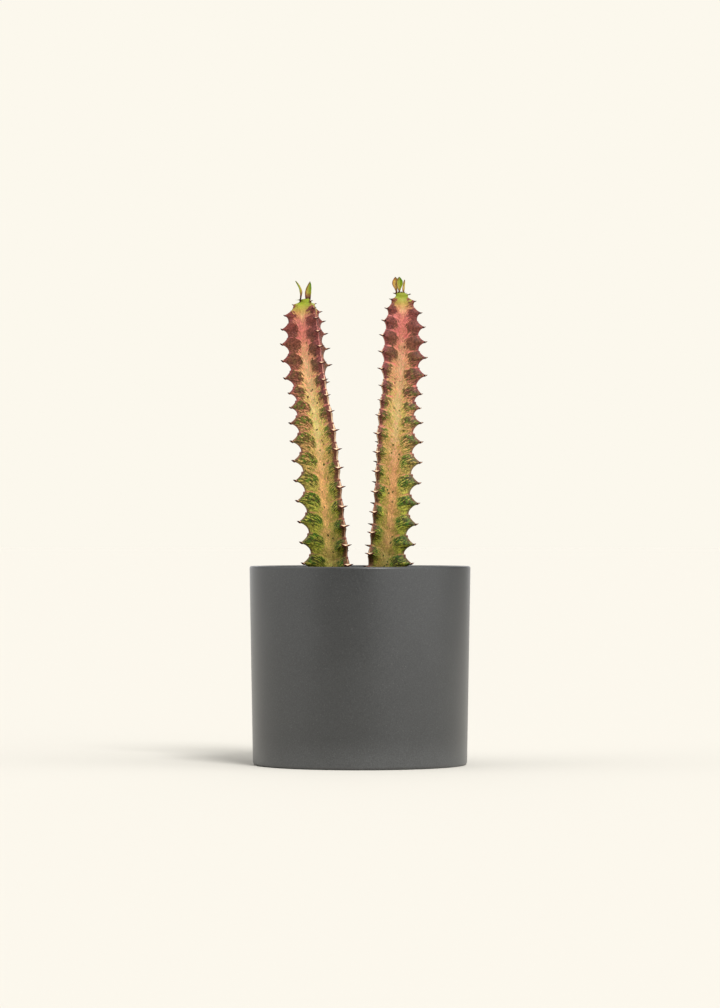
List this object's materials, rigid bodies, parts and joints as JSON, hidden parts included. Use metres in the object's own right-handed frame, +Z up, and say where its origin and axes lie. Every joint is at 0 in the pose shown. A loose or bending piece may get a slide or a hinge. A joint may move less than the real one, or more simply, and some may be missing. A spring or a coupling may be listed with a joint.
{
  "type": "potted african milk tree",
  "caption": "Angled, toothed and thorny succulent stems with small leaves at their tips, standing in soil in a plain, matte, slightly tapered cylindrical pot.",
  "frame": {"origin": "centre of the pot's foot, on the surface that it stands on", "axes": "+Z up along the pot's axis; the side seen in the picture faces -Y, with +X to its right"},
  "size_m": [0.127, 0.127, 0.2802],
  "materials": {
    "pot": "matte charcoal",
    "soil": "loose damp potting soil",
    "stem": "satin succulent skin, green, yellow and maroon"
  },
  "bodies": {
    "root": {"pot": "pot", "soil": "soil", "left_stem": "stem", "right_stem": "stem"}
  },
  "joints": []
}
